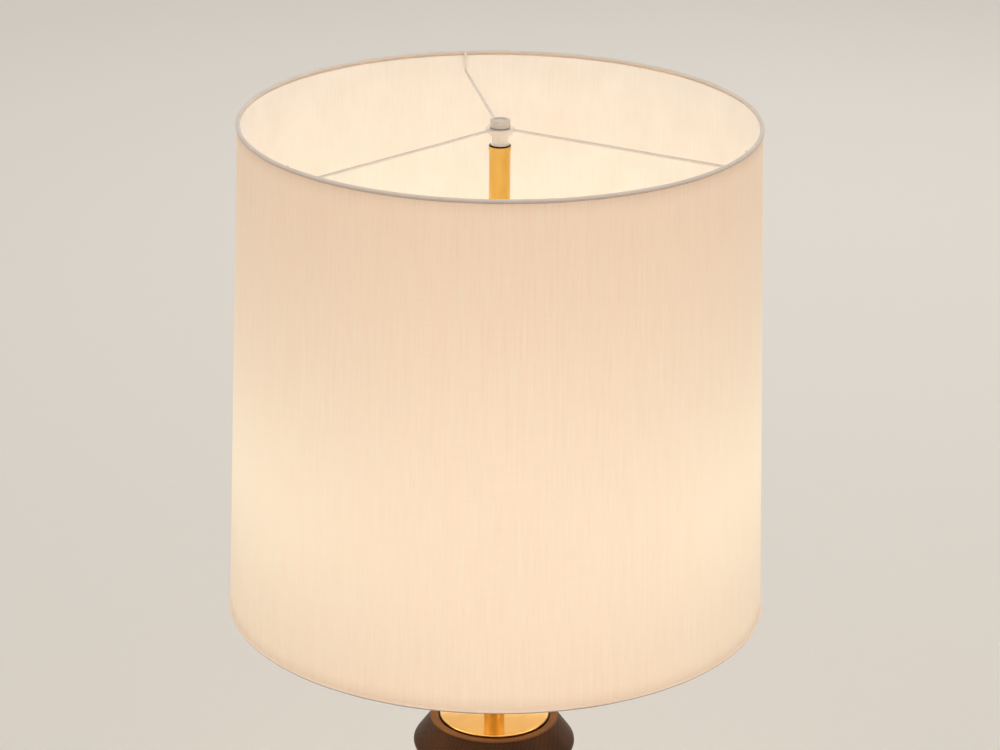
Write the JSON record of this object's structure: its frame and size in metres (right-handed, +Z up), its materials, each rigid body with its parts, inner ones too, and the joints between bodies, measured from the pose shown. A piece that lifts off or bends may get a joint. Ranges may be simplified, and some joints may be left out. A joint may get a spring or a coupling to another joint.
{
  "type": "table lamp with shade",
  "caption": "Table lamp with a turned hourglass base, brass column, bulbs on a pull-chain cluster and a fabric drum shade held on a wire spider by a cap nut.",
  "frame": {"origin": "centre of the felt pad's underside, on the table", "axes": "+Z up along the lamp's axis, sockets along X, front towards -Y"},
  "size_m": [0.416, 0.416, 0.7998],
  "materials": {
    "turned_wood": "dark walnut stain, satin lacquer",
    "polished_brass": "polished and clear lacquered",
    "contact_brass": "rolled, bare",
    "cast_iron": "as cast",
    "zinc_steel": "zinc plated",
    "fibre_board": "pressed fibre",
    "felt": "brown needle felt",
    "moulded_phenolic": "moulded, satin",
    "white_enamel": "white baked enamel",
    "ring_steel": "white coated wire",
    "shade_linen": "cream linen weave",
    "shade_styrene": "translucent warm white sheet",
    "shade_tape": "rolled bias tape",
    "lead_insulation": "silicone insulation",
    "crimp_nylon": "nylon sleeve",
    "nickel_brass": "nickel plated",
    "white_polycarbonate": "moulded white",
    "circuit_board": "white solder mask",
    "opal_polycarbonate": "opal diffuser"
  },
  "bodies": {
    "lamp": {"base_body": "turned_wood", "base_weight": "cast_iron", "bottom_cover": "fibre_board", "centre_contact_left": "contact_brass", "centre_contact_right": "contact_brass", "chain_spout_left": "polished_brass", "chain_spout_right": "polished_brass", "cluster_body": "polished_brass", "cluster_cover": "polished_brass", "cord_bush": "polished_brass", "crimp_splices": "crimp_nylon", "felt_pad": "felt", "lamp_pipe": "zinc_steel", "locknuts": "zinc_steel", "lower_tube": "polished_brass", "pipe_washer": "zinc_steel", "riser_foot_plug": "polished_brass", "riser_nipple": "zinc_steel", "riser_top_plug": "polished_brass", "riser_tube": "polished_brass", "screw_shell_left": "contact_brass", "screw_shell_right": "contact_brass", "seat_plate": "polished_brass", "shade_seat": "white_enamel", "side_nipples": "zinc_steel", "socket_cap_left": "polished_brass", "socket_cap_right": "polished_brass", "socket_core_left": "moulded_phenolic", "socket_core_right": "moulded_phenolic", "socket_leads": "lead_insulation", "socket_liner_left": "fibre_board", "socket_liner_right": "fibre_board", "socket_shell_left": "polished_brass", "socket_shell_right": "polished_brass", "top_stud": "zinc_steel", "tube_bushes": "polished_brass", "weight_screws": "zinc_steel"},
    "shade": {"shade_fabric": "shade_linen", "shade_liner": "shade_styrene", "top_trim": "shade_tape", "bottom_trim": "shade_tape", "top_ring_wire": "ring_steel", "bottom_ring_wire": "ring_steel", "spider_arms": "white_enamel", "spider_hub": "white_enamel"},
    "cap": {"cap_nut": "white_enamel"},
    "bulb_left": {"bulb_tip_left": "moulded_phenolic", "bulb_screw_base_left": "nickel_brass", "bulb_housing_left": "white_polycarbonate", "bulb_led_board_left": "circuit_board", "bulb_diffuser_left": "opal_polycarbonate"},
    "bulb_right": {"bulb_tip_right": "moulded_phenolic", "bulb_screw_base_right": "nickel_brass", "bulb_housing_right": "white_polycarbonate", "bulb_led_board_right": "circuit_board", "bulb_diffuser_right": "opal_polycarbonate"},
    "pull_left": {"pull_chain_left": "polished_brass", "pull_bell_left": "polished_brass"},
    "pull_right": {"pull_chain_right": "polished_brass", "pull_bell_right": "polished_brass"}
  },
  "joints": [
    {"name": "shade_turn", "type": "hinge", "parent": "lamp", "child": "shade", "pos_m": [0, 0, 0.7927], "axis": [0, 0, 1], "continuous": true},
    {"name": "cap_nut_turn", "type": "hinge", "parent": "lamp", "child": "cap", "pos_m": [0, 0, 0.797], "axis": [0, 0, 1], "continuous": true},
    {"name": "bulb_left_turn", "type": "hinge", "parent": "lamp", "child": "bulb_left", "pos_m": [-0.065, 0, 0.513], "axis": [-1, 0, 0], "continuous": true},
    {"name": "bulb_right_turn", "type": "hinge", "parent": "lamp", "child": "bulb_right", "pos_m": [0.065, 0, 0.513], "axis": [1, 0, 0], "continuous": true},
    {"name": "pull_left_down", "type": "slide", "parent": "lamp", "child": "pull_left", "axis": [0, 0, -1], "range_m": [0, 0.01], "stiffness_N_per_m": 250, "springref_m": -0.003},
    {"name": "pull_right_down", "type": "slide", "parent": "lamp", "child": "pull_right", "axis": [0, 0, -1], "range_m": [0, 0.01], "stiffness_N_per_m": 250, "springref_m": -0.003}
  ]
}
